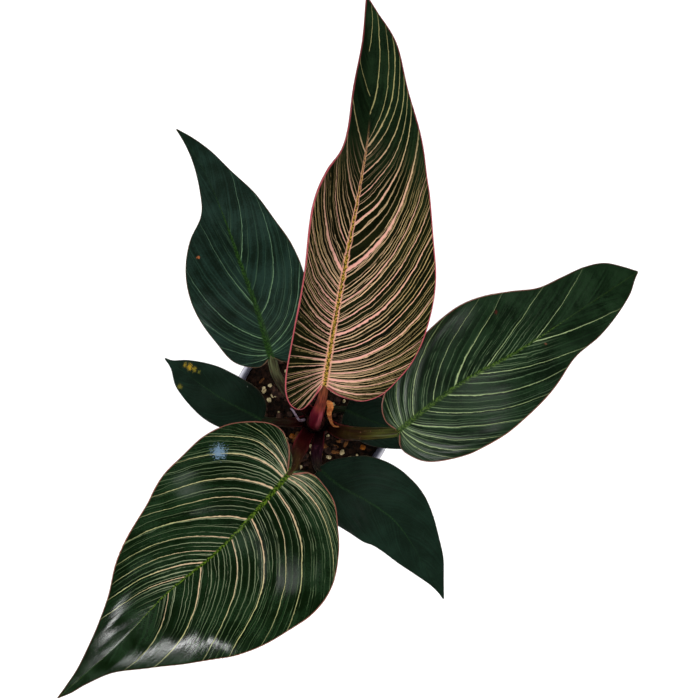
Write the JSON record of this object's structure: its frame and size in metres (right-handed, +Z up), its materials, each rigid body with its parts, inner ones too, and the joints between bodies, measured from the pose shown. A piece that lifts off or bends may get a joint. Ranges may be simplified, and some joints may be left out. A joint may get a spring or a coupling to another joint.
{
  "type": "potted philodendron",
  "caption": "Philodendron with long pinstriped heart-based leaves on red and olive stalks, in a round thin-walled nursery pot filled with potting mix.",
  "frame": {"origin": "centre of the pot's underside, on the surface it stands on", "axes": "+Z up, +Y towards the newest leaf's tip, the longest way across the plant, +X to the right of it seen from above"},
  "size_m": [0.3218, 0.3625, 0.2582],
  "materials": {
    "pot": "thin glossy grey-lavender plastic, a little translucent",
    "soil": "damp dark potting mix of bark, fibre and pale grains",
    "perlite": "dusty cream perlite grains",
    "bark": "dry tan bark and wood curls",
    "fertiliser": "waxy orange beads",
    "stem": "brown stem with leaf scars",
    "petiole_red": "smooth maroon to rose stalk",
    "petiole_olive": "smooth olive-brown stalk with red edges",
    "petiole_purple": "smooth dark purple-brown stalk",
    "leaf_new": "dark green with dense pink and cream stripes, pink edge",
    "leaf_striped": "glossy dark green with fine cream stripes, thin red-brown edge",
    "leaf_dark": "dark blue-green with few faint stripes",
    "leaf_plain": "plain dark blue-green, satin",
    "dry_sheath": "dry orange-tan papery sheath",
    "root": "pale purple-white young root"
  },
  "bodies": {
    "root": {"pot": "pot", "soil": "soil", "stem": "stem", "petiole_newest": "petiole_red", "petiole_back_left": "petiole_olive", "petiole_right": "petiole_olive", "petiole_front_left": "petiole_red", "petiole_small_left": "petiole_red", "petiole_small_front": "petiole_purple", "petiole_small_right": "petiole_olive", "blade_newest": "leaf_new", "blade_back_left": "leaf_dark", "blade_right": "leaf_striped", "blade_front_left": "leaf_striped", "blade_small_left": "leaf_plain", "blade_small_front": "leaf_plain", "blade_small_right": "leaf_plain", "dry_bud_sheath": "dry_sheath", "young_root": "root"}
  },
  "joints": []
}
